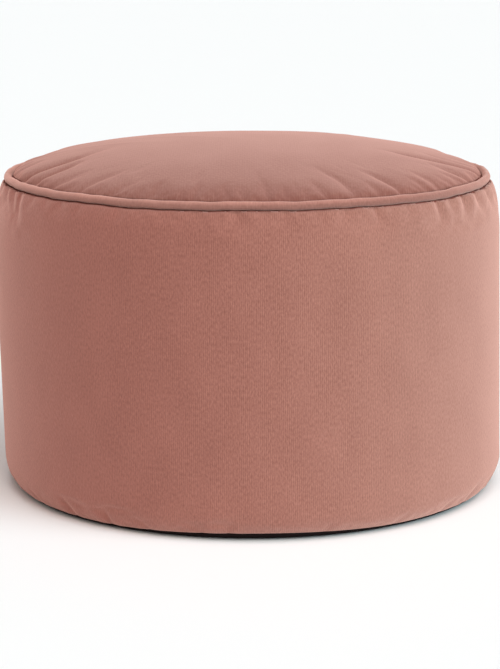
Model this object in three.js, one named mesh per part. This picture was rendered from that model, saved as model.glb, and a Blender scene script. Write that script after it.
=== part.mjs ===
// A round filled pouf in dusty rose velvet, in millimetres, with +Z up.
// It stands on z = 0 with the middle of its base at the origin, and its front faces -Y.
// A crowned top panel and a tall side band are sewn together round a piping cord, and a dark cloth
// base panel closes the bottom. Azimuths are degrees from the front, positive towards +X.
import * as THREE from "three";

// Overall form, worked out from a widest diameter of about 500 mm
const RING_HEIGHT = 309.7; // centre line of the piping, and the plane of the top seam
const RING_RADIUS = 238.15;
const PIPING_RADIUS = 4;
const CROWN_RISE = 35.8; // top of the crown above the top seam
const CROWN_RADIUS = 233.7;
const CROWN_POWER = 1.95; // 2 would be an ellipse, less is more pointed
const BAND_TOP_RADIUS = 252.5; // the side band where the shoulder starts
const BAND_LOW_RADIUS = 252.2; // the side band where the foot starts
const SHOULDER_HEIGHT = 60; // how far below the ring the band starts to draw in
const SHOULDER_INSET_RADIUS = 237.2; // where the shoulder's curve would end, behind the piping
const FOOT_HEIGHT = 30.3; // the band rolls in below this
const CONTACT_RADIUS = 229.3; // the flat that stands on the floor

// The pouf leans a little: the middle of its base and of its top ring, along X
const BASE_SHIFT = 0.4;
const RING_SHIFT = -4.9;

// Base panel and clearances
const PANEL_THICKNESS = 2;
const GAP = 0.3;
const UNDERSIDE_GAP = 0.4; // over the base panel, so that the curve's facets stay 0.3 apart too
const SEAM_GAP_TURN = 0.9; // degrees round the foot's curve between the panel's edge and the velvet
const SEAM_HOLD = 6; // the top seam's stitches hold the top panel's creases down this far above it
const SEAM_LOW = 2.8; // height of the bottom seam where it is lowest

// Where the bottom seam is drawn up, by rise above SEAM_LOW and by spread to either side
const SEAM_RISES = [
  { azimuth: 2, rise: 5.2, spread: 28 },
  { azimuth: 50, rise: 1.8, spread: 13 },
  { azimuth: -50, rise: 1.4, spread: 13 },
  { azimuth: 118, rise: 1.4, spread: 20 },
  { azimuth: 176, rise: 3.4, spread: 30 },
  { azimuth: -112, rise: 1.8, spread: 24 },
];

const FOLD_SPREAD = 0.8; // by how much a fold is wider at its far end than at its seam
const CREASE_HOLD = 1.5; // over 1, a crease keeps its height longer before it fades

// How many points go round each ring: FINE where folds lie, COARSE where the shape is plain
const FINE = 240;
const COARSE = 120;
const PIPING_SIDES = 8;

// Creases in the top panel, each from the seam inwards. A negative height is a trough.
// Width is from the middle of a crease to where it has almost died away, at the seam. Bow is how far
// the middle of its run swings to the right on the way in.
const TOP_CREASES = [
  { azimuth: -67.5, radius: 233, innerAzimuth: -94, innerRadius: 128, height: -6.4, width: 9, bow: 13 },
  { azimuth: -60, radius: 233, innerAzimuth: -72, innerRadius: 155, height: -5, width: 7, bow: 10 },
  { azimuth: -52, radius: 233, innerAzimuth: -47, innerRadius: 200, height: -2, width: 8, bow: 3 },
  { azimuth: -78, radius: 233, innerAzimuth: -90, innerRadius: 190, height: -1.4, width: 7, bow: 8 },
  { azimuth: -41.5, radius: 232, innerAzimuth: -36.5, innerRadius: 188, height: -1.6, width: 7, bow: 0 },
  { azimuth: -32.5, radius: 232, innerAzimuth: -26, innerRadius: 212, height: -1.2, width: 6, bow: 1 },
  { azimuth: -12, radius: 232, innerAzimuth: -11, innerRadius: 212, height: -0.6, width: 7, bow: 0 },
  { azimuth: 4.5, radius: 232, innerAzimuth: 4.5, innerRadius: 205, height: -0.8, width: 8, bow: 0 },
  { azimuth: 18.5, radius: 233, innerAzimuth: 15.5, innerRadius: 214, height: -1.2, width: 5, bow: 0 },
  { azimuth: 25, radius: 233, innerAzimuth: 17, innerRadius: 150, height: -2.4, width: 15, bow: 7 },
  { azimuth: 31.5, radius: 232, innerAzimuth: 21, innerRadius: 156, height: -0.7, width: 10, bow: 6 },
  { azimuth: 37.7, radius: 233, innerAzimuth: 35, innerRadius: 178, height: -2.7, width: 7, bow: 0 },
  { azimuth: 48, radius: 226, innerAzimuth: 48, innerRadius: 160, height: 0.6, width: 14, bow: -7 },
  { azimuth: 66.5, radius: 234, innerAzimuth: 65, innerRadius: 200, height: -3.6, width: 6, bow: -3 },
  { azimuth: 79, radius: 233, innerAzimuth: 74, innerRadius: 124, height: -5.6, width: 10, bow: -13 },
  { azimuth: 86, radius: 233, innerAzimuth: 86, innerRadius: 165, height: -3, width: 6, bow: -9 },
  { azimuth: 92, radius: 233, innerAzimuth: 90, innerRadius: 195, height: -1.4, width: 5, bow: -4 },
  { azimuth: -92, radius: 160, innerAzimuth: -39, innerRadius: 73, height: 0.5, width: 8, bow: -18 },
  { azimuth: -112, radius: 110, innerAzimuth: 30, innerRadius: 60, height: 0.45, width: 8, bow: -14 },
  { azimuth: 140, radius: 170, innerAzimuth: 88, innerRadius: 95, height: 0.5, width: 9, bow: 12 },
  { azimuth: 101, radius: 233, innerAzimuth: 97, innerRadius: 182, height: 1, width: 8, bow: 4 },
  { azimuth: 116, radius: 233, innerAzimuth: 112, innerRadius: 200, height: 1, width: 8, bow: 0 },
  { azimuth: 131, radius: 233, innerAzimuth: 133, innerRadius: 186, height: -2, width: 9, bow: 3 },
  { azimuth: 149, radius: 233, innerAzimuth: 144, innerRadius: 176, height: 2.2, width: 8, bow: -4 },
  { azimuth: 170, radius: 233, innerAzimuth: 171, innerRadius: 202, height: 1.6, width: 7, bow: 0 },
  { azimuth: -171, radius: 233, innerAzimuth: -168, innerRadius: 190, height: -1.8, width: 8, bow: 4 },
  { azimuth: -152, radius: 233, innerAzimuth: -156, innerRadius: 178, height: 2.2, width: 8, bow: 3 },
  { azimuth: -131, radius: 233, innerAzimuth: -128, innerRadius: 196, height: 1.8, width: 8, bow: -3 },
  { azimuth: -116, radius: 233, innerAzimuth: -119, innerRadius: 176, height: 1, width: 8, bow: 4 },
  { azimuth: -99, radius: 233, innerAzimuth: -95, innerRadius: 196, height: 1, width: 8, bow: 0 },
];

// Broad swells of the crown, between its folds
const CROWN_SWELLS = [
  { azimuth: 12, radius: 120, height: 1, width: 70 },
  { azimuth: 40, radius: 170, height: -0.8, width: 45 },
  { azimuth: -20, radius: 160, height: 0.8, width: 60 },
  { azimuth: 150, radius: 150, height: 0.9, width: 60 },
  { azimuth: 88, radius: 208, height: -2.3, width: 42 },
  { azimuth: 104, radius: 204, height: -2.7, width: 42 },
  { azimuth: -90, radius: 208, height: -1.2, width: 42 },
  { azimuth: -104, radius: 204, height: -1.5, width: 42 },
];

// Puckers of the side band that hang from the top seam. Each starts at its azimuth and has gone round
// by drift degrees at its lower end, reach below the ring. Width is from the trough to its ridges, at
// the seam.
const SHOULDER_PUCKERS = [
  { azimuth: -78, drift: -3, reach: 24, width: 6, depth: 2.6 },
  { azimuth: -72, drift: 2, reach: 26, width: 6, depth: 3.4 },
  { azimuth: -66.5, drift: 3, reach: 32, width: 6, depth: 3.6 },
  { azimuth: -62, drift: 2, reach: 58, width: 6, depth: 3.2 },
  { azimuth: -45, drift: 1, reach: 20, width: 7, depth: 1.6 },
  { azimuth: -29, drift: 1, reach: 15, width: 6, depth: 1 },
  { azimuth: -12, drift: 2, reach: 15, width: 7, depth: 1.8 },
  { azimuth: -3, drift: 2.5, reach: 22, width: 6, depth: 2.8 },
  { azimuth: 3.5, drift: 1, reach: 16, width: 5, depth: 1.8 },
  { azimuth: 8, drift: 0, reach: 22, width: 5, depth: 2.8 },
  { azimuth: 14.5, drift: 1, reach: 14, width: 6, depth: 1.2 },
  { azimuth: 21.5, drift: -0.5, reach: 19, width: 5, depth: 2.2 },
  { azimuth: 28, drift: 2, reach: 28, width: 6, depth: 3 },
  { azimuth: 36.5, drift: 1, reach: 16, width: 6, depth: 1.4 },
  { azimuth: 46, drift: 1.5, reach: 32, width: 6, depth: 4.2 },
  { azimuth: 50.5, drift: 0.5, reach: 22, width: 5, depth: 2.6 },
  { azimuth: 56.5, drift: 1, reach: 34, width: 7, depth: 5 },
  { azimuth: 63, drift: 2.5, reach: 30, width: 7, depth: 4.4 },
  { azimuth: 71, drift: 3, reach: 30, width: 7, depth: 4.6 },
  { azimuth: 78.5, drift: 2, reach: 26, width: 7, depth: 3.6 },
  { azimuth: 90, drift: 1.5, reach: 26, width: 7, depth: 3 },
  { azimuth: 102, drift: -1, reach: 20, width: 6, depth: 2 },
  { azimuth: 113, drift: 2, reach: 32, width: 6, depth: 3.6 },
  { azimuth: 125, drift: 1, reach: 18, width: 6, depth: 1.6 },
  { azimuth: 139, drift: -2, reach: 26, width: 7, depth: 3 },
  { azimuth: 152, drift: 1, reach: 20, width: 6, depth: 2 },
  { azimuth: 166, drift: 1, reach: 30, width: 7, depth: 3.2 },
  { azimuth: 179, drift: -1, reach: 18, width: 6, depth: 1.6 },
  { azimuth: -167, drift: 2, reach: 24, width: 6, depth: 2.6 },
  { azimuth: -154, drift: 1, reach: 30, width: 7, depth: 3.4 },
  { azimuth: -141, drift: -1, reach: 18, width: 6, depth: 1.8 },
  { azimuth: -129, drift: 2, reach: 26, width: 6, depth: 2.8 },
  { azimuth: -115, drift: -2, reach: 34, width: 7, depth: 3.6 },
  { azimuth: -103, drift: 1, reach: 22, width: 6, depth: 2.2 },
  { azimuth: -91, drift: -1, reach: 28, width: 6, depth: 3 },
];

// Puckers of the side band that stand on the bottom seam, in the same terms, reach being above the seam
const FOOT_PUCKERS = [
  { azimuth: -72, drift: -3, reach: 20, width: 7, depth: 1.6 },
  { azimuth: -57, drift: -6, reach: 22, width: 7, depth: 1.8 },
  { azimuth: -43.5, drift: -4, reach: 24, width: 6, depth: 3 },
  { azimuth: -33, drift: -1.5, reach: 26, width: 6, depth: 3 },
  { azimuth: -23, drift: -3, reach: 14, width: 6, depth: 1.4 },
  { azimuth: -11, drift: -2, reach: 14, width: 6, depth: 1.2 },
  { azimuth: -5, drift: -1.5, reach: 18, width: 6, depth: 1.6 },
  { azimuth: 16, drift: 0.5, reach: 10, width: 6, depth: 0.8 },
  { azimuth: 33, drift: 1, reach: 10, width: 6, depth: 0.8 },
  { azimuth: 47, drift: 4, reach: 14, width: 6, depth: 1.4 },
  { azimuth: 57, drift: 7, reach: 24, width: 6, depth: 2.8 },
  { azimuth: 67, drift: 6, reach: 24, width: 7, depth: 1.6 },
  { azimuth: 74, drift: 7, reach: 40, width: 6, depth: 3.4 },
  { azimuth: 97, drift: -2, reach: 16, width: 6, depth: 1.4 },
  { azimuth: 109, drift: 3, reach: 24, width: 7, depth: 2 },
  { azimuth: 127, drift: -3, reach: 14, width: 6, depth: 1.2 },
  { azimuth: 143, drift: 2, reach: 22, width: 7, depth: 1.8 },
  { azimuth: 160, drift: -2, reach: 16, width: 6, depth: 1.4 },
  { azimuth: 174, drift: 3, reach: 20, width: 6, depth: 1.6 },
  { azimuth: -169, drift: -3, reach: 14, width: 6, depth: 1.2 },
  { azimuth: -151, drift: 3, reach: 24, width: 7, depth: 2 },
  { azimuth: -134, drift: -2, reach: 16, width: 6, depth: 1.2 },
  { azimuth: -118, drift: -4, reach: 22, width: 7, depth: 1.8 },
  { azimuth: -101, drift: 2, reach: 16, width: 6, depth: 1.4 },
  { azimuth: -87, drift: -3, reach: 18, width: 6, depth: 1.6 },
];

const FINISHES = {
  velvet: { color: 0xaa7669, roughness: 0.9, metalness: 0 },
  piping: { color: 0xb8857a, roughness: 0.85, metalness: 0 },
  baseCloth: { color: 0x241a1b, roughness: 0.95, metalness: 0 },
};

const { degToRad, clamp, lerp } = THREE.MathUtils;
const BAND_TOP = RING_HEIGHT - SHOULDER_HEIGHT;
const FOOT_INSET = BAND_LOW_RADIUS - CONTACT_RADIUS;

// Degrees from one azimuth to another the short way round
function turnBetween(from, to) {
  return ((((to - from) % 360) + 540) % 360) - 180;
}

// A soft hump of height 1 that has almost died away at 1
function hump(offset) {
  return Math.exp(-2.5 * offset * offset);
}

// A sewn pucker across its width: a trough of depth 1 at 0 with a lower ridge to each side
function pleat(offset) {
  return (1 - 2 * offset * offset) * Math.exp(-offset * offset);
}

// 1 at the seam, 0 at the far end of a fold
function fade(along) {
  return 0.5 + 0.5 * Math.cos(Math.PI * clamp(along, 0, 1));
}

// A fold spreads out as it leaves its seam
function spreadAt(along) {
  return 1 + FOLD_SPREAD * clamp(along, 0, 1);
}

function planPoint(azimuth, radius) {
  const angle = degToRad(azimuth);
  return new THREE.Vector2(radius * Math.sin(angle), -radius * Math.cos(angle));
}

// How far one crease lifts the top panel at a point in plan
function creaseLift(crease, point) {
  const start = planPoint(crease.azimuth, crease.radius);
  const inwards = planPoint(crease.innerAzimuth, crease.innerRadius).sub(start);
  const length = inwards.length();
  const away = point.clone().sub(start);
  const way = away.dot(inwards) / length;
  const along = clamp(way / length, 0, 1);
  const swing = crease.bow * 4 * along * (1 - along);
  const across = away.cross(inwards) / length - swing;
  const offset = Math.hypot(across, way - along * length) / (crease.width * spreadAt(along));
  return crease.height * hump(offset) * fade(along ** CREASE_HOLD);
}

function swellLift(swell, point) {
  return swell.height * hump(point.distanceTo(planPoint(swell.azimuth, swell.radius)) / swell.width);
}

// How far all the folds of the top panel lift it along its normal
function topRelief(azimuth, radius, height) {
  const point = planPoint(azimuth, radius);
  const creases = TOP_CREASES.reduce((sum, crease) => sum + creaseLift(crease, point), 0);
  const lift = CROWN_SWELLS.reduce((sum, swell) => sum + swellLift(swell, point), creases);
  return lift * clamp((height - RING_HEIGHT) / SEAM_HOLD, 0, 1);
}

// How far a row of puckers draws the band in, at a distance from the seam that they start at
function puckerDepth(puckers, azimuth, distance) {
  return puckers.reduce((sum, pucker) => {
    const along = clamp(distance / pucker.reach, 0, 1);
    const middle = pucker.azimuth + pucker.drift * along;
    const across = degToRad(turnBetween(middle, azimuth)) * BAND_TOP_RADIUS;
    return sum + pucker.depth * pleat(across / (pucker.width * spreadAt(along))) * fade(along);
  }, 0);
}

// Height of the bottom seam, where the velvet meets the base panel
function seamHeight(azimuth) {
  return SEAM_RISES.reduce((height, place) => {
    const offset = turnBetween(place.azimuth, azimuth) / place.spread;
    return height + place.rise * Math.exp(-offset * offset);
  }, SEAM_LOW);
}

// Sections, as Vector2(radius, height). A turn is in degrees round a curve's own middle.

// The crown, from turn 0 at the top seam to turn 90 at the middle
function crownSection(turn, lift = 0) {
  const out = Math.cos(degToRad(turn)) ** (2 / CROWN_POWER);
  const up = Math.sin(degToRad(turn)) ** (2 / CROWN_POWER);
  const normal = new THREE.Vector2(
    out ** (CROWN_POWER - 1) / CROWN_RADIUS,
    up ** (CROWN_POWER - 1) / CROWN_RISE,
  ).normalize();
  return new THREE.Vector2(CROWN_RADIUS * out, RING_HEIGHT + CROWN_RISE * up).addScaledVector(normal, lift);
}

// The shoulder, from turn 0 at the band's top to turn 90 behind the piping
function shoulderSection(turn, depth = 0) {
  const angle = degToRad(turn);
  return new THREE.Vector2(
    lerp(SHOULDER_INSET_RADIUS, BAND_TOP_RADIUS, Math.cos(angle)) - depth,
    BAND_TOP + SHOULDER_HEIGHT * Math.sin(angle),
  );
}

// The foot, from turn 0 at the band's bottom to turn 90 at the floor
function footSection(turn, depth = 0) {
  const angle = degToRad(turn);
  const normal = new THREE.Vector2(
    Math.cos(angle) / FOOT_INSET,
    -Math.sin(angle) / FOOT_HEIGHT,
  ).normalize();
  return new THREE.Vector2(
    CONTACT_RADIUS + FOOT_INSET * Math.cos(angle),
    FOOT_HEIGHT * (1 - Math.sin(angle)),
  ).addScaledVector(normal, -depth);
}

// Where on the foot's curve the bottom seam lies
function seamTurn(azimuth) {
  return THREE.MathUtils.radToDeg(Math.asin(1 - seamHeight(azimuth) / FOOT_HEIGHT));
}

// The groove that the piping lies in, by a turn round the piping from straight out
function grooveSection(turn) {
  const facetGap = GAP / Math.cos(Math.PI / PIPING_SIDES);
  return new THREE.Vector2(RING_RADIUS, RING_HEIGHT).add(
    new THREE.Vector2(PIPING_RADIUS + facetGap, 0).rotateAround(new THREE.Vector2(), degToRad(turn)),
  );
}

// The lean moves each level along X: the foot as one, the top as one, and the band between them
function leanAt(height) {
  return lerp(BASE_SHIFT, RING_SHIFT, clamp((height - FOOT_HEIGHT) / (BAND_TOP - FOOT_HEIGHT), 0, 1));
}

// Triangles between two rings of points, which may hold different numbers of points
function joinRings(faces, lower, upper) {
  let i = 0;
  let j = 0;
  while (i < lower.columns || j < upper.columns) {
    const here = lower.first + (i % lower.columns);
    const above = upper.first + (j % upper.columns);
    const stepLower = (i + 1) * upper.columns <= (j + 1) * lower.columns;
    const next = stepLower
      ? lower.first + ((i + 1) % lower.columns)
      : upper.first + ((j + 1) % upper.columns);
    if (next !== here && next !== above) faces.push(here, next, above);
    if (stepLower) i += 1;
    else j += 1;
  }
}

// A closed body from rings that run from its underside's middle, out and up, to its top's middle.
// Each ring has a number of columns and a section, which gives its Vector2(radius, height) at an azimuth.
function bodyFromRings(rings) {
  const positions = [];
  const faces = [];
  const placed = rings.map(({ columns, section }) => {
    const first = positions.length / 3;
    for (let column = 0; column < columns; column += 1) {
      const azimuth = (360 * column) / columns;
      const { x: radius, y: height } = section(azimuth);
      const plan = planPoint(azimuth, radius);
      positions.push(plan.x + leanAt(height), plan.y, height);
    }
    return { first, columns };
  });
  placed.slice(1).forEach((upper, index) => joinRings(faces, placed[index], upper));
  const geometry = new THREE.BufferGeometry();
  geometry.setAttribute("position", new THREE.Float32BufferAttribute(positions, 3));
  geometry.setIndex(faces);
  geometry.computeVertexNormals();
  return geometry;
}

const flatRing = (columns, radius, height) => ({
  columns,
  section: () => new THREE.Vector2(radius, height),
});

// The velvet's underside, which rests in the base panel
function bodyUndersideRings() {
  const inset = PANEL_THICKNESS + UNDERSIDE_GAP;
  const hiddenFoot = (share) => ({
    columns: COARSE,
    section: (azimuth) => footSection(lerp(90, seamTurn(azimuth), share), inset),
  });
  return [
    flatRing(1, 0, inset),
    flatRing(COARSE / 4, CONTACT_RADIUS / 2, inset),
    ...[0, 0.5, 1].map(hiddenFoot),
  ];
}

// The foot that shows, from the bottom seam up, with its puckers
function bodyFootRings() {
  return [0, 0.25, 0.5, 0.75, 1].map((share) => ({
    columns: FINE,
    section: (azimuth) => {
      const turn = lerp(seamTurn(azimuth), 0, share);
      const aboveSeam = footSection(turn).y - seamHeight(azimuth);
      return footSection(turn, puckerDepth(FOOT_PUCKERS, azimuth, aboveSeam));
    },
  }));
}

// The plain part of the side band
function bodyBandRings() {
  return [0.2, 0.8].map((share) => {
    const height = lerp(FOOT_HEIGHT, BAND_TOP, share);
    return flatRing(COARSE, lerp(BAND_LOW_RADIUS, BAND_TOP_RADIUS, share), height);
  });
}

// The shoulder that draws in under the piping, with its puckers
function bodyShoulderRings() {
  return [0, 20, 38, 51, 61, 68].map((turn) => ({
    columns: FINE,
    section: (azimuth) => {
      const belowRing = RING_HEIGHT - shoulderSection(turn).y;
      return shoulderSection(turn, puckerDepth(SHOULDER_PUCKERS, azimuth, belowRing));
    },
  }));
}

// The crowned top panel, with its creases
function bodyCrownRings() {
  const stations = [
    { turn: 6, columns: FINE },
    { turn: 11, columns: FINE },
    { turn: 17, columns: FINE },
    { turn: 24, columns: FINE },
    { turn: 32, columns: FINE },
    { turn: 41, columns: FINE },
    { turn: 51, columns: COARSE },
    { turn: 62, columns: COARSE / 2 },
    { turn: 75, columns: COARSE / 4 },
    { turn: 90, columns: 1 },
  ];
  return stations.map(({ turn, columns }) => ({
    columns,
    section: (azimuth) => {
      const { x: radius, y: height } = crownSection(turn);
      return crownSection(turn, topRelief(azimuth, radius, height));
    },
  }));
}

function velvetBody() {
  const groove = [270, 225, 180].map((turn) => ({ columns: COARSE, section: () => grooveSection(turn) }));
  return bodyFromRings([
    ...bodyUndersideRings(),
    ...bodyFootRings(),
    ...bodyBandRings(),
    ...bodyShoulderRings(),
    ...groove,
    ...bodyCrownRings(),
  ]);
}

// The covered cord in the top seam, one closed ring
function topPiping() {
  const ring = new THREE.TorusGeometry(RING_RADIUS, PIPING_RADIUS, PIPING_SIDES, COARSE);
  return ring.translate(RING_SHIFT, 0, RING_HEIGHT);
}

// The base panel, flat on the floor with its rim turned up to the bottom seam
function basePanel() {
  const rim = (share, depth) => ({
    columns: COARSE,
    section: (azimuth) => footSection(lerp(90, seamTurn(azimuth) + SEAM_GAP_TURN, share), depth),
  });
  return bodyFromRings([
    flatRing(1, 0, 0),
    flatRing(COARSE / 4, CONTACT_RADIUS / 2, 0),
    ...[0, 0.5, 1].map((share) => rim(share, 0)),
    ...[1, 0.5, 0].map((share) => rim(share, PANEL_THICKNESS)),
    flatRing(COARSE / 4, CONTACT_RADIUS / 2, PANEL_THICKNESS),
    flatRing(1, 0, PANEL_THICKNESS),
  ]);
}

function namedMesh(name, geometry, finish) {
  const mesh = new THREE.Mesh(geometry, new THREE.MeshStandardMaterial(finish));
  mesh.name = name;
  return mesh;
}

const group = new THREE.Group();
group.add(
  namedMesh("velvet_body", velvetBody(), FINISHES.velvet),
  namedMesh("top_piping", topPiping(), FINISHES.piping),
  namedMesh("base_panel", basePanel(), FINISHES.baseCloth),
);

export default group;
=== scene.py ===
"""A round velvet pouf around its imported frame, in metres, +Z up, its front facing -Y.

The velvet cover, the covered piping cord and the dark base cloth each replace their CAD solid.
Azimuths are degrees from the front, positive towards +X. The fold tables are in degrees and
millimetres.
"""

import math
from typing import NamedTuple

import bpy
import numpy as np
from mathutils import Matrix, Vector


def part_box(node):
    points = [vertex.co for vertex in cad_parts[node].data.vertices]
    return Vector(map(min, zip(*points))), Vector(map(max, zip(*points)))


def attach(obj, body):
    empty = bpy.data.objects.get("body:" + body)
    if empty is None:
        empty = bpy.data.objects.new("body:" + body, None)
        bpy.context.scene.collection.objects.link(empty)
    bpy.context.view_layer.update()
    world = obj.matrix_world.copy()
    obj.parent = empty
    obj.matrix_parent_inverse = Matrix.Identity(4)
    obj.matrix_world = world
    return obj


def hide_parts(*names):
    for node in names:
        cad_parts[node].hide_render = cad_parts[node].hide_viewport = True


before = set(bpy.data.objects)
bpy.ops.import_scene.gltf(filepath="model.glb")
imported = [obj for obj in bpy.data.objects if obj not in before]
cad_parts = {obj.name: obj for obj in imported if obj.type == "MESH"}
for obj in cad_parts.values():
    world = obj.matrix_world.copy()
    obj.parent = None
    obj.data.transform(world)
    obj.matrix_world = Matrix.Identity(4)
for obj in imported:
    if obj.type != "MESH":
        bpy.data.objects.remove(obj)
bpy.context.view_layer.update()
PIPING_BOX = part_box("top_piping")

MM = 0.001
TINY = 1e-9

# Sizes that the frame gives
PIPING_RADIUS = (PIPING_BOX[1].z - PIPING_BOX[0].z) / 2
RING_HEIGHT = (PIPING_BOX[1].z + PIPING_BOX[0].z) / 2
RING_RADIUS = (PIPING_BOX[1].y - PIPING_BOX[0].y) / 2 - PIPING_RADIUS
RING_SHIFT = (PIPING_BOX[1].x + PIPING_BOX[0].x) / 2

# The velvet's section, the same as the solid's. Turns are degrees round a section's own curve, and
# SEAM_GAP_TURN is the turn between the cover's lowest edge and the base cloth's rim.
CROWN_RADIUS = 233.7 * MM
CROWN_RISE = 35.8 * MM
CROWN_POWER = 1.95
BAND_TOP_RADIUS = 252.5 * MM
BAND_LOW_RADIUS = 252.2 * MM
SHOULDER_HEIGHT = 60 * MM
SHOULDER_INSET_RADIUS = 237.2 * MM
FOOT_HEIGHT = 30.3 * MM
CONTACT_RADIUS = 229.3 * MM
BASE_SHIFT = 0.4 * MM
BAND_TOP = RING_HEIGHT - SHOULDER_HEIGHT
FOOT_INSET = BAND_LOW_RADIUS - CONTACT_RADIUS
PANEL_THICKNESS = 2 * MM
GAP = 0.3 * MM
SEAM_LOW = 2.8 * MM
SEAM_GAP_TURN = 0.9

# How the folds meet the seams, and how they widen as they fade. CREASE_HOLD over 1 keeps a crease
# near its full height for longer.
SEAM_HOLD = 6 * MM
FOOT_SEAM_HOLD = 5 * MM
FOOT_SEAM_SHARE = 0.3
FOLD_SPREAD = 0.8
CREASE_HOLD = 1.5
SEAM_WANDER_NEAR = 6 * MM
SEAM_WANDER_REACH = 14 * MM

# Points round a ring, and how far the cover's columns crowd towards the front
COVER_COLUMNS = 300
FRONT_CROWDING = 20
PIPING_COLUMNS = 720
PIPING_SIDES = 20
BASE_COLUMNS = 360

# The cloth simulation
CLOTH_FRAMES = 20
CLOTH_PRESSURE = 4
CLOTH_SLACK = 0.012
MOST_MOVEMENT = 3 * MM
CROWN_CLOTH_ROWS = 20
CROWN_SMOOTH_RADIUS = 130 * MM
CROWN_CREASED_RADIUS = 225 * MM
CROWN_CLOTH_FADE = 1.5

# How narrow, how deep and how sharp the fold shapes are
SOFT_RIDGE_FALL = 2.5
SOFT_TROUGH_DIP = 2
SHARP_RIDGE_FALL = 2.2
SHARP_RIDGE_POWER = 1.2
SHARP_TROUGH_DIP = 1.6
SHARP_TROUGH_FALL = 1.1
SHARP_TROUGH_POWER = 1.5


class SeamRise(NamedTuple):
    azimuth: float
    rise: float
    spread: float


class Crease(NamedTuple):
    azimuth: float
    radius: float
    inner_azimuth: float
    inner_radius: float
    height: float
    width: float
    bow: float


class Swell(NamedTuple):
    azimuth: float
    radius: float
    height: float
    width: float


class SeamWave(NamedTuple):
    turns: int
    start: float
    height: float


class Pucker(NamedTuple):
    azimuth: float
    drift: float
    reach: float
    width: float
    depth: float


# Where the bottom seam is drawn up
SEAM_RISES = [
    SeamRise(2, 5.2, 28),
    SeamRise(50, 1.8, 13),
    SeamRise(-50, 1.4, 13),
    SeamRise(118, 1.4, 20),
    SeamRise(176, 3.4, 30),
    SeamRise(-112, 1.8, 24),
]

# Waves of the top seam, which stray it a little up and down
SEAM_WAVES = [
    SeamWave(5, 20, 0.3),
    SeamWave(11, 130, 0.25),
    SeamWave(19, 70, 0.2),
    SeamWave(37, 200, 0.16),
    SeamWave(61, 10, 0.12),
]

# Creases of the top panel from the seam inwards. A negative height is a trough, and bow is how far
# a crease's middle swings to the right on the way in.
TOP_CREASES = [
    Crease(-67.5, 233, -94, 128, -6.4, 9, 13),
    Crease(-60, 233, -72, 155, -5, 7, 10),
    Crease(-52, 233, -47, 200, -2, 8, 3),
    Crease(-78, 233, -90, 190, -1.4, 7, 8),
    Crease(-41.5, 232, -36.5, 188, -1.6, 7, 0),
    Crease(-32.5, 232, -26, 212, -1.2, 6, 1),
    Crease(-12, 232, -11, 212, -0.6, 7, 0),
    Crease(4.5, 232, 4.5, 205, -0.8, 8, 0),
    Crease(18.5, 233, 15.5, 214, -1.2, 5, 0),
    Crease(25, 233, 17, 150, -2.4, 15, 7),
    Crease(31.5, 232, 21, 156, -0.7, 10, 6),
    Crease(37.7, 233, 35, 178, -2.7, 7, 0),
    Crease(48, 226, 48, 160, 0.6, 14, -7),
    Crease(66.5, 234, 65, 200, -3.6, 6, -3),
    Crease(79, 233, 74, 124, -5.6, 10, -13),
    Crease(86, 233, 86, 165, -3, 6, -9),
    Crease(92, 233, 90, 195, -1.4, 5, -4),
    Crease(-92, 160, -39, 73, 0.5, 8, -18),
    Crease(-112, 110, 30, 60, 0.45, 8, -14),
    Crease(140, 170, 88, 95, 0.5, 9, 12),
    Crease(101, 233, 97, 182, 1, 8, 4),
    Crease(116, 233, 112, 200, 1, 8, 0),
    Crease(131, 233, 133, 186, -2, 9, 3),
    Crease(149, 233, 144, 176, 2.2, 8, -4),
    Crease(170, 233, 171, 202, 1.6, 7, 0),
    Crease(-171, 233, -168, 190, -1.8, 8, 4),
    Crease(-152, 233, -156, 178, 2.2, 8, 3),
    Crease(-131, 233, -128, 196, 1.8, 8, -3),
    Crease(-116, 233, -119, 176, 1, 8, 4),
    Crease(-99, 233, -95, 196, 1, 8, 0),
]

# Broad swells of the top panel between its creases
CROWN_SWELLS = [
    Swell(12, 120, 1, 70),
    Swell(40, 170, -0.8, 45),
    Swell(-20, 160, 0.8, 60),
    Swell(150, 150, 0.9, 60),
    Swell(88, 208, -2.3, 42),
    Swell(104, 204, -2.7, 42),
    Swell(-90, 208, -1.2, 42),
    Swell(-104, 204, -1.5, 42),
]

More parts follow.
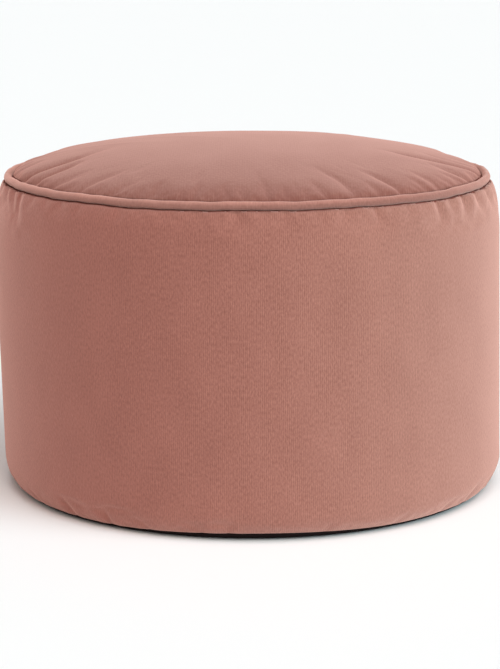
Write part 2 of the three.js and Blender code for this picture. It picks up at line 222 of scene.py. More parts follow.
# Puckers of the band that hang from the top seam: they drift round as they go down their reach
SHOULDER_PUCKERS = [
    Pucker(-78, -3, 24, 6, 2.6),
    Pucker(-72, 2, 26, 6, 3.4),
    Pucker(-66.5, 3, 32, 6, 3.6),
    Pucker(-62, 2, 58, 6, 3.2),
    Pucker(-45, 1, 20, 7, 1.6),
    Pucker(-29, 1, 15, 6, 1),
    Pucker(-12, 2, 15, 7, 1.8),
    Pucker(-3, 2.5, 22, 6, 2.8),
    Pucker(3.5, 1, 16, 5, 1.8),
    Pucker(8, 0, 22, 5, 2.8),
    Pucker(14.5, 1, 14, 6, 1.2),
    Pucker(21.5, -0.5, 19, 5, 2.2),
    Pucker(28, 2, 28, 6, 3),
    Pucker(36.5, 1, 16, 6, 1.4),
    Pucker(46, 1.5, 32, 6, 4.2),
    Pucker(50.5, 0.5, 22, 5, 2.6),
    Pucker(56.5, 1, 34, 7, 5),
    Pucker(63, 2.5, 30, 7, 4.4),
    Pucker(71, 3, 30, 7, 4.6),
    Pucker(78.5, 2, 26, 7, 3.6),
    Pucker(90, 1.5, 26, 7, 3),
    Pucker(102, -1, 20, 6, 2),
    Pucker(113, 2, 32, 6, 3.6),
    Pucker(125, 1, 18, 6, 1.6),
    Pucker(139, -2, 26, 7, 3),
    Pucker(152, 1, 20, 6, 2),
    Pucker(166, 1, 30, 7, 3.2),
    Pucker(179, -1, 18, 6, 1.6),
    Pucker(-167, 2, 24, 6, 2.6),
    Pucker(-154, 1, 30, 7, 3.4),
    Pucker(-141, -1, 18, 6, 1.8),
    Pucker(-129, 2, 26, 6, 2.8),
    Pucker(-115, -2, 34, 7, 3.6),
    Pucker(-103, 1, 22, 6, 2.2),
    Pucker(-91, -1, 28, 6, 3),
]

# Puckers of the band that stand on the bottom seam
FOOT_PUCKERS = [
    Pucker(-72, -3, 20, 7, 1.6),
    Pucker(-57, -6, 22, 7, 1.8),
    Pucker(-43.5, -4, 24, 6, 3),
    Pucker(-33, -1.5, 26, 6, 3),
    Pucker(-23, -3, 14, 6, 1.4),
    Pucker(-11, -2, 14, 6, 1.2),
    Pucker(-5, -1.5, 18, 6, 1.6),
    Pucker(16, 0.5, 10, 6, 0.8),
    Pucker(33, 1, 10, 6, 0.8),
    Pucker(47, 4, 14, 6, 1.4),
    Pucker(57, 7, 24, 6, 2.8),
    Pucker(67, 6, 24, 7, 1.6),
    Pucker(74, 7, 40, 6, 3.4),
    Pucker(97, -2, 16, 6, 1.4),
    Pucker(109, 3, 24, 7, 2),
    Pucker(127, -3, 14, 6, 1.2),
    Pucker(143, 2, 22, 7, 1.8),
    Pucker(160, -2, 16, 6, 1.4),
    Pucker(174, 3, 20, 6, 1.6),
    Pucker(-169, -3, 14, 6, 1.2),
    Pucker(-151, 3, 24, 7, 2),
    Pucker(-134, -2, 16, 6, 1.2),
    Pucker(-118, -4, 22, 7, 1.8),
    Pucker(-101, 2, 16, 6, 1.4),
    Pucker(-87, -3, 18, 6, 1.6),
]


# Fold shapes. The soft ones seed the cloth; the sharp ones crease it after its subdivision.
class Shapes(NamedTuple):
    ridge: object
    trough: object


def soft_ridge(offset):
    return np.exp(-SOFT_RIDGE_FALL * offset**2)


def soft_trough(offset):
    return (1 - SOFT_TROUGH_DIP * offset**2) * np.exp(-(offset**2))


def sharp_ridge(offset):
    return np.exp(-SHARP_RIDGE_FALL * np.abs(offset) ** SHARP_RIDGE_POWER)


def sharp_trough(offset):
    away = np.abs(offset) ** SHARP_TROUGH_POWER
    return (1 - SHARP_TROUGH_DIP * away) * np.exp(-SHARP_TROUGH_FALL * away)


SOFT = Shapes(soft_ridge, soft_trough)
SHARP = Shapes(sharp_ridge, sharp_trough)


def turn_between(start, end):
    """The shorter way round from start to end, in degrees."""
    return (end - start + 180) % 360 - 180


def fade(along):
    return 0.5 + 0.5 * np.cos(np.pi * np.clip(along, 0, 1))


def spread_at(along):
    return 1 + FOLD_SPREAD * along


def plan(azimuth, radius):
    """x and y of a place, seen from above."""
    angle = np.radians(azimuth)
    return radius * np.sin(angle), -radius * np.cos(angle)


def crease_lift(crease, x, y, shapes):
    x0, y0 = plan(crease.azimuth, crease.radius * MM)
    x1, y1 = plan(crease.inner_azimuth, crease.inner_radius * MM)
    run = math.hypot(x1 - x0, y1 - y0)
    way_x, way_y = (x1 - x0) / run, (y1 - y0) / run
    way = (x - x0) * way_x + (y - y0) * way_y
    along = np.clip(way / run, 0, 1)
    swing = crease.bow * MM * 4 * along * (1 - along)
    across = (x - x0) * way_y - (y - y0) * way_x - swing
    offset = np.hypot(across, way - along * run) / (crease.width * MM * spread_at(along))
    return crease.height * MM * shapes.ridge(offset) * fade(along**CREASE_HOLD)


def swell_lift(swell, x, y):
    x0, y0 = plan(swell.azimuth, swell.radius * MM)
    return swell.height * MM * soft_ridge(np.hypot(x - x0, y - y0) / (swell.width * MM))


def top_relief(azimuth, radius, height, shapes):
    x, y = plan(azimuth, radius)
    lift = sum(crease_lift(c, x, y, shapes) for c in TOP_CREASES)
    lift = lift + sum(swell_lift(s, x, y) for s in CROWN_SWELLS)
    return lift * np.clip((height - RING_HEIGHT) / SEAM_HOLD, 0, 1)


def pucker_depth(puckers, azimuth, distance, shapes):
    total = np.zeros(np.broadcast(azimuth, distance).shape)
    for p in puckers:
        along = np.clip(distance / (p.reach * MM), 0, 1)
        across = np.radians(turn_between(p.azimuth + p.drift * along, azimuth)) * BAND_TOP_RADIUS
        shape = shapes.trough(across / (p.width * MM * spread_at(along)))
        total = total + p.depth * MM * shape * fade(along)
    return total


def shoulder_depth(azimuth, height, shapes):
    return pucker_depth(SHOULDER_PUCKERS, azimuth, RING_HEIGHT - height, shapes)


def foot_depth(azimuth, height, shapes):
    above = height - seam_height(azimuth)
    held = FOOT_SEAM_SHARE + (1 - FOOT_SEAM_SHARE) * np.clip(above / FOOT_SEAM_HOLD, 0, 1)
    return pucker_depth(FOOT_PUCKERS, azimuth, above, shapes) * held


def seam_rise(rise, azimuth):
    away = turn_between(rise.azimuth, azimuth) / rise.spread
    return rise.rise * MM * np.exp(-(away**2))


def seam_height(azimuth):
    """The height of the bottom seam."""
    return SEAM_LOW + sum(seam_rise(rise, azimuth) for rise in SEAM_RISES)


# Sections: each gives radius and height, for a turn round the section's own curve. Adding
# 0 * azimuth gives a level ring one value for each of its points.
def crown_section(turn, azimuth):
    out = np.cos(np.radians(turn)) ** (2 / CROWN_POWER)
    up = np.sin(np.radians(turn)) ** (2 / CROWN_POWER)
    radius, height = CROWN_RADIUS * out, RING_HEIGHT + CROWN_RISE * up
    across = out ** (CROWN_POWER - 1) / CROWN_RADIUS
    along = up ** (CROWN_POWER - 1) / CROWN_RISE
    length = np.hypot(across, along)
    lift = top_relief(azimuth, radius, height, SOFT)
    return radius + lift * across / length, height + lift * along / length


def shoulder_section(turn, azimuth):
    out, up = np.cos(np.radians(turn)), np.sin(np.radians(turn))
    height = BAND_TOP + SHOULDER_HEIGHT * up
    radius = SHOULDER_INSET_RADIUS + (BAND_TOP_RADIUS - SHOULDER_INSET_RADIUS) * out
    return radius - shoulder_depth(azimuth, height, SOFT), height + 0 * azimuth


def band_section(share, azimuth):
    radius = BAND_LOW_RADIUS + (BAND_TOP_RADIUS - BAND_LOW_RADIUS) * share
    height = FOOT_HEIGHT + (BAND_TOP - FOOT_HEIGHT) * share + 0 * azimuth
    radius = radius - shoulder_depth(azimuth, height, SOFT) - foot_depth(azimuth, height, SOFT)
    return radius, height


def foot_section(turn, depth=0):
    out, down = np.cos(np.radians(turn)), np.sin(np.radians(turn))
    across, along = out / FOOT_INSET, -down / FOOT_HEIGHT
    length = np.hypot(across, along)
    radius = CONTACT_RADIUS + FOOT_INSET * out - depth * across / length
    return radius, FOOT_HEIGHT * (1 - down) - depth * along / length


def seam_turn(azimuth):
    return np.degrees(np.arcsin(1 - seam_height(azimuth) / FOOT_HEIGHT))


def groove_section(turn, azimuth):
    reach = PIPING_RADIUS + GAP / 2
    around = np.radians(turn)
    radius = RING_RADIUS + reach * np.cos(around) + 0 * azimuth
    return radius, RING_HEIGHT + reach * np.sin(around) + 0 * azimuth


def seam_wander(azimuth):
    """How far the top seam strays up or down from its level ring."""
    return sum(w.height * MM * np.sin(np.radians(w.turns * azimuth + w.start)) for w in SEAM_WAVES)


def lean_at(height):
    """How far the body stands off to the right at a height."""
    share = np.clip((height - FOOT_HEIGHT) / (BAND_TOP - FOOT_HEIGHT), 0, 1)
    return BASE_SHIFT + (RING_SHIFT - BASE_SHIFT) * share


# Meshes from rings
def even(start, end, count, bend=1.0):
    """count values from start to end; a bend over 1 crowds them towards the start."""
    return start + (end - start) * np.linspace(0, 1, count) ** bend


def even_azimuths(count):
    return np.arange(count) * 360 / count


def crowded_azimuths(count):
    """Azimuths that lie closer together at the front, where the folds are finest."""
    plain = even_azimuths(count)
    return plain - FRONT_CROWDING * np.sin(np.radians(plain))


def ring_faces(columns, rows, closed):
    here = np.arange(columns)
    after = (here + 1) % columns
    faces = []
    for row in range(rows if closed else rows - 1):
        low, high = row * columns, (row + 1) % rows * columns
        faces += np.stack([low + here, low + after, high + after, high + here], axis=1).tolist()
    return faces


def cap_faces(columns, rows):
    """Fans that close the first ring on one more point, and the last ring on another."""
    bottom, last = rows * columns, (rows - 1) * columns
    faces = []
    for here in range(columns):
        after = (here + 1) % columns
        faces.append([bottom, after, here])
        faces.append([bottom + 1, last + here, last + after])
    return faces


def ring_piece(name, azimuths, rings, closed=False):
    """A solid from rings of (radius, height). Its ends are capped, or joined if it is closed."""
    points = []
    for radius, height in rings:
        x, y = plan(azimuths, radius)
        points.append(np.stack([x + lean_at(height), y, height + 0 * x], axis=1))
    faces = ring_faces(len(azimuths), len(rings), closed)
    if not closed:
        faces += cap_faces(len(azimuths), len(rings))
        points += [points[0].mean(axis=0)[None], points[-1].mean(axis=0)[None]]
    mesh = bpy.data.meshes.new(name)
    mesh.from_pydata(np.concatenate(points).tolist(), [], faces)
    made = bpy.data.objects.new(name, mesh)
    bpy.context.scene.collection.objects.link(made)
    shade_smooth(made)
    return made


def shade_smooth(piece):
    piece.data.polygons.foreach_set("use_smooth", np.ones(len(piece.data.polygons), bool))
    piece.data.update()


def points_of(mesh, what="co"):
    values = np.empty(len(mesh.vertices) * 3)
    mesh.vertices.foreach_get(what, values)
    return values.reshape(-1, 3)


def set_points(mesh, points):
    mesh.vertices.foreach_set("co", points.ravel())
    mesh.update()


# The velvet cover
UNDERSIDE_SHARES = (0.1, 0.5, 0.9)
RIM_ROWS = 4
FOOT_ROWS = 9
BAND_ROWS = 18
SHOULDER_ROWS = 13
GROOVE_ROWS = 4
CROWN_ROWS = 28
GROOVE_LOW_TURN = 268
GROOVE_HIGH_TURN = 176
SHOULDER_TURN = 68
CROWN_LOW_TURN = 5
CROWN_HIGH_TURN = 88
CROWN_ROW_BEND = 1.35
FOOT_BOTTOM_TURN = 90


def rim_rings(edge, shares, depth=0):
    """Rings up the foot, at shares of the way from its contact disc to the turn of its edge."""
    rise = edge - FOOT_BOTTOM_TURN
    return [foot_section(FOOT_BOTTOM_TURN + rise * share, depth) for share in shares]


def underside_rings(azimuth):
    inset = PANEL_THICKNESS + GAP
    flat = 0 * azimuth
    rings = [(flat + CONTACT_RADIUS * share, flat + inset) for share in UNDERSIDE_SHARES]
    return rings + rim_rings(seam_turn(azimuth), even(0, 1, RIM_ROWS), inset)


def side_rings(azimuth):
    rings = []
    for share in even(0, 1, FOOT_ROWS):
        turn = seam_turn(azimuth) * (1 - share)
        rings.append(foot_section(turn, foot_depth(azimuth, foot_section(turn)[1], SOFT)))
    rings += [band_section(share, azimuth) for share in even(0, 1, BAND_ROWS)[1:-1]]
    turns = even(0, SHOULDER_TURN, SHOULDER_ROWS)
    return rings + [shoulder_section(turn, azimuth) for turn in turns]


def groove_rings(azimuth):
    turns = even(GROOVE_LOW_TURN, GROOVE_HIGH_TURN, GROOVE_ROWS)
    return [groove_section(turn, azimuth) for turn in turns]


def crown_rings(azimuth):
    turns = even(CROWN_LOW_TURN, CROWN_HIGH_TURN, CROWN_ROWS, CROWN_ROW_BEND)
    return [crown_section(turn, azimuth) for turn in turns]


def add_cloth(form, held):
    form.vertex_groups.new(name="held").add(held, 1, "REPLACE")
    cloth = form.modifiers.new("Cloth", "CLOTH")
    cloth.settings.vertex_group_mass = "held"
    cloth.settings.use_pressure = True
    cloth.settings.uniform_pressure_force = CLOTH_PRESSURE
    cloth.settings.shrink_min = -CLOTH_SLACK
    cloth.settings.effector_weights.gravity = 0
    cloth.point_cache.frame_end = CLOTH_FRAMES


def blown_cloth(azimuth, rings, held_rows):
    """How far Blender's cloth moves these rings when it blows them out between the held rows."""
    columns = len(azimuth)
    form = ring_piece("cloth_form", azimuth, rings)
    start = points_of(form.data)
    held = [row * columns + column for row in held_rows for column in range(columns)]
    add_cloth(form, held + [len(start) - 2, len(start) - 1])
    for step in range(1, CLOTH_FRAMES + 1):
        bpy.context.scene.frame_set(step)
    blown = points_of(form.evaluated_get(bpy.context.evaluated_depsgraph_get()).data)
    bpy.data.meshes.remove(form.data)
    return (blown - start)[:-2].reshape(len(rings), columns, 3)


def unevenness(moved, azimuth):
    """What is left of the rings' movement when each ring's mean is taken off, capped."""
    out = np.stack([*plan(azimuth, 1), 0 * azimuth], axis=1)
    radial = (moved * out).sum(axis=2)
    uneven = moved - radial.mean(axis=1)[:, None, None] * out
    uneven[:, :, 2] -= uneven[:, :, 2].mean(axis=1)[:, None]
    length = np.linalg.norm(uneven, axis=2, keepdims=True)
    return uneven * np.minimum(1, MOST_MOVEMENT / np.maximum(length, TINY))


def crown_share(rings):
    """How much of the cloth's unevenness each crown ring keeps: none in the top's smooth middle."""
    radius = np.array([ring[0].mean() for ring in rings])
    creased = CROWN_CREASED_RADIUS - CROWN_SMOOTH_RADIUS
    share = np.clip((radius - CROWN_SMOOTH_RADIUS) / creased, 0, 1)
    return (share**CROWN_CLOTH_FADE)[:, None, None]


def make_uneven(cover, azimuth, below, sides, groove, crown):
    """Gives the cover the unevenness of blown cloth, but for its underside and the top's middle."""
    cloth = sides + groove + crown[:CROWN_CLOTH_ROWS]
    held = [0, 1, *range(len(sides) - 1, len(sides) + len(groove) + 1), len(cloth) - 1]
    moved = unevenness(blown_cloth(azimuth, cloth, held), azimuth)
    moved[len(sides) + len(groove) :] *= crown_share(crown[:CROWN_CLOTH_ROWS])
    points = points_of(cover.data)
    first = len(below) * len(azimuth)
    points[first : first + moved.size // 3] += moved.reshape(-1, 3)
    set_points(cover.data, points)


def subdivide(cover):
    subdivision = cover.modifiers.new("Subdivision", "SUBSURF")
    subdivision.levels = 1
    subdivision.use_limit_surface = False
    smoother = cover.evaluated_get(bpy.context.evaluated_depsgraph_get())
    mesh = bpy.data.meshes.new_from_object(smoother)
    cover.modifiers.clear()
    cover.data = mesh
    shade_smooth(cover)


def sharpen_folds(cover):
    """Moves the cloth from its soft folds to the sharp ones."""
    points = points_of(cover.data)
    normals = points_of(cover.data, "normal")
    x, y, height = points[:, 0] - lean_at(points[:, 2]), points[:, 1], points[:, 2]
    azimuth, radius = np.degrees(np.arctan2(x, -y)), np.hypot(x, y)
    crown = (height > RING_HEIGHT) & (radius < CROWN_RADIUS)
    side = (height > seam_height(azimuth)) & (radius > RING_RADIUS)
    lift = top_relief(azimuth, radius, height, SHARP) - top_relief(azimuth, radius, height, SOFT)
    sunk = shoulder_depth(azimuth, height, SHARP) - shoulder_depth(azimuth, height, SOFT)
    sunk += foot_depth(azimuth, height, SHARP) - foot_depth(azimuth, height, SOFT)
    points += normals * (lift * crown - sunk * side)[:, None]
    set_points(cover.data, points)


def clear_piping(cover):
    """Holds the cloth off the piping cord after its subdivision."""
    points = points_of(cover.data)
    x, y = points[:, 0] - RING_SHIFT, points[:, 1]
    radius = np.hypot(x, y)
    out, up = radius - RING_RADIUS, points[:, 2] - RING_HEIGHT
    distance = np.hypot(out, up)
    share = np.maximum(1, (PIPING_RADIUS + GAP / 2) / np.maximum(distance, TINY))
    new_radius = RING_RADIUS + out * share
    points[:, 0] = RING_SHIFT + x * new_radius / np.maximum(radius, TINY)
    points[:, 1] = y * new_radius / np.maximum(radius, TINY)
    points[:, 2] = RING_HEIGHT + up * share
    set_points(cover.data, points)


def wander_seam(piece):
    """Carries the piece with the top seam's wander, less and less away from the seam."""
    points = points_of(piece.data)
    x, y = points[:, 0] - RING_SHIFT, points[:, 1]
    distance = np.hypot(np.hypot(x, y) - RING_RADIUS, points[:, 2] - RING_HEIGHT)
    share = np.exp(-((np.maximum(0, distance - SEAM_WANDER_NEAR) / SEAM_WANDER_REACH) ** 2))
    points[:, 2] += seam_wander(np.degrees(np.arctan2(x, -y))) * share
    set_points(piece.data, points)


def velvet_cover():
    azimuth = crowded_azimuths(COVER_COLUMNS)
    below, sides = underside_rings(azimuth), side_rings(azimuth)
    groove, crown = groove_rings(azimuth), crown_rings(azimuth)
    cover = ring_piece("velvet_cover", azimuth, below + sides + groove + crown)
    make_uneven(cover, azimuth, below, sides, groove, crown)
    subdivide(cover)
    sharpen_folds(cover)
    clear_piping(cover)
    wander_seam(cover)
    return cover


# The piping cord and the base cloth
def piping_cord():
    azimuth = even_azimuths(PIPING_COLUMNS)
    rings = []
    for turn in even_azimuths(PIPING_SIDES):
        across = PIPING_RADIUS * math.cos(math.radians(turn)) + 0 * azimuth
        up = PIPING_RADIUS * math.sin(math.radians(turn)) + 0 * azimuth
        rings.append((RING_RADIUS + across, RING_HEIGHT + up))
    cord = ring_piece("piping_cord", azimuth, rings, closed=True)
    wander_seam(cord)
    return cord


BASE_RIM_ROWS = 8


def base_cloth():
    azimuth = even_azimuths(BASE_COLUMNS)
    flat = 0 * azimuth
    edge = seam_turn(azimuth) + SEAM_GAP_TURN
    outer = rim_rings(edge, even(0, 1, BASE_RIM_ROWS))
    inner = rim_rings(edge, even(1, 0, BASE_RIM_ROWS), PANEL_THICKNESS)
    below = [(flat + CONTACT_RADIUS * share, flat) for share in UNDERSIDE_SHARES]
    above = [(radius, height + PANEL_THICKNESS) for radius, height in reversed(below)]
    return ring_piece("base_cloth", azimuth, below + outer + inner + above)


# Materials
NOISE_MEAN = 0.5
MIX_SHARE, MIX_FIRST, MIX_SECOND, MIX_RESULT = 0, 6, 7, 2


def add_node(tree, kind, inputs, **settings):
    """A new node's outputs. inputs gives each socket a value, or another node's output."""
    node = tree.nodes.new("ShaderNode" + kind)
    for name, value in settings.items():
        setattr(node, name, value)
    for name, value in inputs.items():
        if isinstance(value, bpy.types.NodeSocket):
            tree.links.new(value, node.inputs[name])
        else:
            node.inputs[name].default_value = value
    return node.outputs


def new_material(name, sockets):
    material = bpy.data.materials.new(name)
    material.use_nodes = True
    shader = material.node_tree.nodes["Principled BSDF"]
    for socket, value in sockets.items():
        shader.inputs[socket].default_value = value
    return material, material.node_tree, shader


def maths(tree, operation, *values):
    return add_node(tree, "Math", dict(enumerate(values)), operation=operation)["Value"]


def vector(tree, x, y, z):
    return add_node(tree, "CombineXYZ", {"X": x, "Y": y, "Z": z})["Vector"]


def length(tree, x, y):
    return add_node(tree, "VectorMath", {0: vector(tree, x, y, 0)}, operation="LENGTH")["Value"]


def spread(tree, value, low, high, new_low, new_high):
    """value, with low to high carried over to new_low to new_high, and held at both ends."""
    old_range = {"From Min": low, "From Max": high}
    inputs = {"Value": value, **old_range, "To Min": new_low, "To Max": new_high}
    return add_node(tree, "MapRange", inputs)["Result"]


def grain(tree, across, along, pitch, stretch, detail):
    """Noise about 0 with grains of one pitch across the cloth, and stretch times as long along it."""
    place = vector(tree, across, maths(tree, "DIVIDE", along, stretch), 0)
    found = add_node(tree, "TexNoise", {"Vector": place, "Scale": 1 / pitch, "Detail": detail})
    return maths(tree, "SUBTRACT", found["Fac"], NOISE_MEAN)


def mix_colours(tree, share, first, second):
    inputs = {MIX_SHARE: share, MIX_FIRST: (*first, 1), MIX_SECOND: (*second, 1)}
    return add_node(tree, "Mix", inputs, data_type="RGBA")[MIX_RESULT]


def add_bump(tree, shader, height, depth, strength):
    bump = add_node(tree, "Bump", {"Height": height, "Distance": depth, "Strength": strength})
    tree.links.new(bump["Normal"], shader.inputs["Normal"])


class Velvet(NamedTuple):
    """One velvet: its two colours, the pitch in millimetres and strength of its ribs, grain and
    pile marks, and its sheen's tint. Its painted light and sheen: for each metre along X or Y its
    pile is painted lighter by the field for X or Y, and for each metre along X its green and blue
    grow by a share, the paler colour of the painted light towards +X."""

    dark: tuple
    light: tuple
    rib_pitch: float
    rib: float
    grain_pitch: float
    grain: float
    mark_pitch: float
    mark: float
    painted_light_x: float
    painted_light_y: float
    painted_light_hue_x: float
    sheen: tuple


BAND_VELVET = Velvet(
    dark=(0.187, 0.066, 0.049),
    light=(0.297, 0.121, 0.093),
    rib_pitch=1.9,
    rib=0.18,
    grain_pitch=1.5,
    grain=1.8,
    mark_pitch=34,
    mark=0.6,
    painted_light_x=0,
    painted_light_y=0,
    painted_light_hue_x=0.75,
    sheen=(0.718, 0.438, 0.381),
)
# The top panel's velvet is the band's cloth made darker and lighter towards the back: painted shade
# and painted sheen for how the light falls on the top
CROWN_VELVET = Velvet(
    dark=(0.16, 0.052, 0.038),
    light=(0.265, 0.126, 0.101),
    rib_pitch=2.2,
    rib=0.1,
    grain_pitch=2,
    grain=1.3,
    mark_pitch=40,
    mark=0.8,
    painted_light_x=-0.3,
    painted_light_y=1.8,
    painted_light_hue_x=0,
    sheen=(0.712, 0.405, 0.351),
)
# The cord's velvet is the band's cloth made paler, and lighter towards -X: painted light for how the
# light falls on the cord
PIPING_VELVET = Velvet(
    dark=(0.21, 0.083, 0.064),
    light=(0.34, 0.154, 0.123),
    rib_pitch=1.6,
    rib=0.1,
    grain_pitch=1.8,
    grain=1.2,
    mark_pitch=14,
    mark=0.6,
    painted_light_x=-2.6,
    painted_light_y=0,
    painted_light_hue_x=0,
    sheen=(0.73, 0.452, 0.394),
)
VELVET_SHEEN = {
    "Roughness": 0.9,
    "Specular IOR Level": 0.0,
    "Sheen Weight": 1.0,
    "Sheen Roughness": 0.6,
}
GRAIN_STRETCH = 2.2
GRAIN_DETAIL = 2
MARK_STRETCH = 1.8
MARK_DETAIL = 3
RIB_BEND = 2
MIDDLE_TONE = 0.5
PILE_DEPTH = 0.35 * MM
PILE_BUMP = 0.5

# Painted shade where the cloth goes into the piped seam, and painted light and shade on the cord
SEAM_SHADE = 0.35
SEAM_SHADE_REACH = 4.2 * MM
# A dark cloth with little sheen: painted shadow for the faces next to the cord
SEAM_PAINTED_SHADOW = {
    "Base Color": (0.15, 0.045, 0.034, 1),
    "Roughness": 0.95,
    "Specular IOR Level": 0.0,
    "Sheen Weight": 0.15,
    "Sheen Roughness": 0.6,
    "Sheen Tint": (0.7, 0.4, 0.35, 1),
}
SEAM_PAINTED_SHADOW_REACH = 1.9 * MM
# Painted light on the cord's top and painted shade below its middle
PIPING_PAINTED_LIGHT_START = PIPING_RADIUS * 0.2
PIPING_PAINTED_SHADE = 0.8
PIPING_PAINTED_LIGHT = 1.35


def pile_tone(tree, velvet, x, y, across, along):
    """How light the pile is, from its ribs, grain and marks, and painted light and sheen along X and
    Y.
    """
    fine = grain(tree, across, along, velvet.grain_pitch * MM, GRAIN_STRETCH, GRAIN_DETAIL)
    marks = grain(tree, across, along, velvet.mark_pitch * MM, MARK_STRETCH, MARK_DETAIL)
    bend = maths(tree, "MULTIPLY", fine, RIB_BEND)
    turn = maths(tree, "MULTIPLY_ADD", across, 2 * math.pi / (velvet.rib_pitch * MM), bend)
    tone = maths(tree, "MULTIPLY_ADD", fine, velvet.grain, MIDDLE_TONE)
    tone = maths(tree, "MULTIPLY_ADD", maths(tree, "SINE", turn), velvet.rib, tone)
    tone = maths(tree, "MULTIPLY_ADD", marks, velvet.mark, tone)
    # Painted light and sheen: lighter along X and Y
    tone = maths(tree, "MULTIPLY_ADD", x, velvet.painted_light_x, tone)
    return maths(tree, "MULTIPLY_ADD", y, velvet.painted_light_y, tone)


def velvet_material(name, velvet, across_and_along, shade):
    """across_and_along gives the cloth's own directions at x, y, z, and shade scales its colour."""
    material, tree, shader = new_material(name, VELVET_SHEEN)
    shader.inputs["Sheen Tint"].default_value = (*velvet.sheen, 1)
    place = add_node(tree, "TexCoord", {})["Object"]
    x, y, z = add_node(tree, "SeparateXYZ", {"Vector": place}).values()
    tone = pile_tone(tree, velvet, x, y, *across_and_along(tree, x, y, z))
    mixed = mix_colours(tree, tone, velvet.dark, velvet.light)
    # The painted light's colour: green and blue grow towards +X, where the light is paler
    painted_light_hue = maths(tree, "MULTIPLY_ADD", x, velvet.painted_light_hue_x, 1)
    inputs = {0: mixed, 1: vector(tree, 1, painted_light_hue, painted_light_hue)}
    tinted = add_node(tree, "VectorMath", inputs, operation="MULTIPLY")["Vector"]
    inputs = {0: tinted, "Scale": shade(tree, x, y, z)}
    shaded = add_node(tree, "VectorMath", inputs, operation="SCALE")["Vector"]
    tree.links.new(shaded, shader.inputs["Base Color"])
    add_bump(tree, shader, tone, PILE_DEPTH, PILE_BUMP)
    return material


def band_directions(tree, x, y, z):
    turn = maths(tree, "ARCTAN2", x, maths(tree, "MULTIPLY", y, -1))
    return maths(tree, "MULTIPLY", turn, BAND_TOP_RADIUS), z


def crown_directions(tree, x, y, z):
    return x, y


def ring_distance(tree, x, y, z):
    """The distance from the middle of the piping cord."""
    radius = length(tree, maths(tree, "SUBTRACT", x, RING_SHIFT), y)
    out = maths(tree, "SUBTRACT", radius, RING_RADIUS)
    return length(tree, out, maths(tree, "SUBTRACT", z, RING_HEIGHT))


def seam_shade(tree, x, y, z):
    """Painted shade: the cloth grows darker towards the piped seam, in its crevice."""
    low = PIPING_RADIUS
    return spread(tree, ring_distance(tree, x, y, z), low, low + SEAM_SHADE_REACH, SEAM_SHADE, 1)


def piping_shade(tree, x, y, z):
    """Painted light on top of the cord and painted shade underneath: paler above, darker below."""
    up = maths(tree, "SUBTRACT", z, RING_HEIGHT)
    return spread(tree, up, PIPING_PAINTED_LIGHT_START, PIPING_RADIUS, PIPING_PAINTED_SHADE, PIPING_PAINTED_LIGHT)


BASE_FINISH = {"Roughness": 0.95, "Specular IOR Level": 0.05}
BASE_DARK = (0.004, 0.002, 0.002)
BASE_LIGHT = (0.014, 0.008, 0.008)
WEAVE_SCALE = 700
WEAVE_DETAIL = 2
WEAVE_DEPTH = 0.2 * MM
WEAVE_BUMP = 0.6


def base_cloth_material():
    material, tree, shader = new_material("base_cloth", BASE_FINISH)
    place = add_node(tree, "TexCoord", {})["Object"]
    inputs = {"Vector": place, "Scale": WEAVE_SCALE, "Detail": WEAVE_DETAIL}
    weave = add_node(tree, "TexNoise", inputs)["Fac"]
    mixed = mix_colours(tree, weave, BASE_DARK, BASE_LIGHT)
    tree.links.new(mixed, shader.inputs["Base Color"])
    add_bump(tree, shader, weave, WEAVE_DEPTH, WEAVE_BUMP)
    return material


# Studio
class Sun(NamedTuple):
    name: str
    azimuth: float
    elevation: float
    strength: float
    colour: tuple


SUNS = [
    Sun("right_light", 60, 12, 3.3, (0.72, 0.945, 1)),
    Sun("front_light", 0, 38, 1.36, (1, 0.78, 0.67)),
    Sun("top_light", 30, 64, 1.43, (0.9, 0.96, 1)),
]
SUN_SPREAD = 50
WORLD_COLOUR = (1, 1, 1, 1)
WORLD_STRENGTH = 0.3
FLOOR_HALF = 30
FLOOR_FINISH = {"Base Color": (0.9, 0.9, 0.9, 1), "Roughness": 0.9}


def studio_floor():
    mesh = bpy.data.meshes.new("floor")
    half = FLOOR_HALF
    corners = [(-half, -half, 0), (half, -half, 0), (half, half, 0), (-half, half, 0)]
    mesh.from_pydata(corners, [], [(0, 1, 2, 3)])
    floor = bpy.data.objects.new("floor", mesh)
    bpy.context.scene.collection.objects.link(floor)
    floor.data.materials.append(new_material("floor", FLOOR_FINISH)[0])


def add_sun(sun):
    light = bpy.data.lights.new(sun.name, "SUN")
    light.energy = sun.strength
    light.color = sun.colour
    light.angle = math.radians(SUN_SPREAD)
    lamp = bpy.data.objects.new(sun.name, light)
    bpy.context.scene.collection.objects.link(lamp)
    a, e = math.radians(sun.azimuth), math.radians(sun.elevation)
    towards = Vector((math.sin(a) * math.cos(e), -math.cos(a) * math.cos(e), math.sin(e)))
    lamp.rotation_euler = towards.to_track_quat("Z", "Y").to_euler()


def studio_light():
    world = bpy.data.worlds.new("studio")
    bpy.context.scene.world = world
    world.use_nodes = True
    backdrop = world.node_tree.nodes["Background"]
    backdrop.inputs["Color"].default_value = WORLD_COLOUR
    backdrop.inputs["Strength"].default_value = WORLD_STRENGTH
    for sun in SUNS:
        add_sun(sun)
    bpy.context.scene.view_settings.view_transform = "Standard"


# The photograph's view: its camera was fitted to the pouf's outline
CAMERA_DISTANCE = 2.1
CAMERA_HEIGHT = 0.570
CAMERA_AIM_HEIGHT = 0.145
CAMERA_SHIFT_X = -2 * MM
FOCAL_PIXELS = 2106
PICTURE_LONG_SIDE = 669
SENSOR_MM = 36


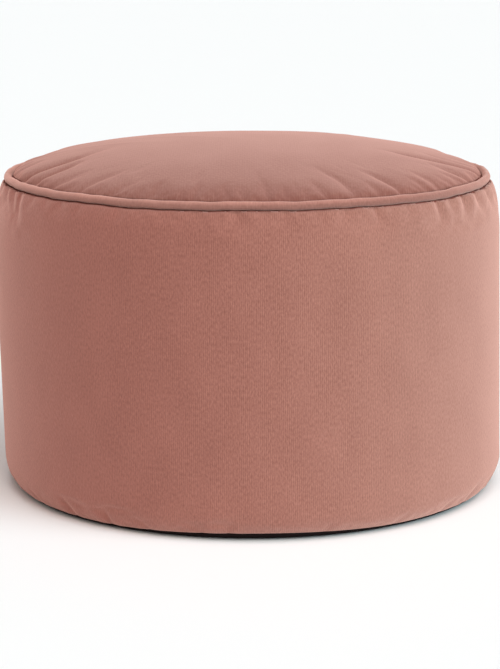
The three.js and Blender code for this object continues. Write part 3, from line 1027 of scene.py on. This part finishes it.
def camera():
    data = bpy.data.cameras.new("camera")
    data.sensor_width = SENSOR_MM
    data.lens = FOCAL_PIXELS * SENSOR_MM / PICTURE_LONG_SIDE
    made = bpy.data.objects.new("camera", data)
    bpy.context.scene.collection.objects.link(made)
    made.location = (CAMERA_SHIFT_X, -CAMERA_DISTANCE, CAMERA_HEIGHT)
    aim = Vector((CAMERA_SHIFT_X, 0, CAMERA_AIM_HEIGHT)) - made.location
    made.rotation_euler = aim.to_track_quat("-Z", "Y").to_euler()
    bpy.context.scene.camera = made


def dress(piece, node, slot, *materials):
    """Puts the piece in its solid's place, with its materials; the slot argument is not used."""
    for material in materials:
        piece.data.materials.append(material)
    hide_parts(node)
    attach(piece, "root")


CROWN_MATERIAL = 1
PAINTED_SHADOW_MATERIAL = 2


def part_panels(cover):
    """Gives the top panel's faces their own material, and the faces beside the cord a dark one of
    painted shadow.
    """
    middles = np.empty(len(cover.data.polygons) * 3)
    cover.data.polygons.foreach_get("center", middles)
    x, y, z = middles.reshape(-1, 3).T
    out = np.hypot(x - RING_SHIFT, y) - RING_RADIUS
    up = z - RING_HEIGHT - seam_wander(np.degrees(np.arctan2(x, -y)))
    panel = np.where((up > -PIPING_RADIUS) & (out < 0), CROWN_MATERIAL, 0)
    # Painted shadow: the faces next to the cord get the dark material
    panel[np.hypot(out, up) < PIPING_RADIUS + SEAM_PAINTED_SHADOW_REACH] = PAINTED_SHADOW_MATERIAL
    cover.data.polygons.foreach_set("material_index", panel)
    cover.data.update()


camera()
studio_floor()
studio_light()

cover = velvet_cover()
band_velvet = velvet_material("band_velvet", BAND_VELVET, band_directions, seam_shade)
crown_velvet = velvet_material("crown_velvet", CROWN_VELVET, crown_directions, seam_shade)
seam_painted_shadow = new_material("seam_painted_shadow", SEAM_PAINTED_SHADOW)[0]
dress(cover, "velvet_body", "velvet", band_velvet, crown_velvet, seam_painted_shadow)
part_panels(cover)

cord = piping_cord()
cord_velvet = velvet_material("piping_velvet", PIPING_VELVET, band_directions, piping_shade)
dress(cord, "top_piping", "piping_velvet", cord_velvet)

base = base_cloth()
dress(base, "base_panel", "base_cloth", base_cloth_material())
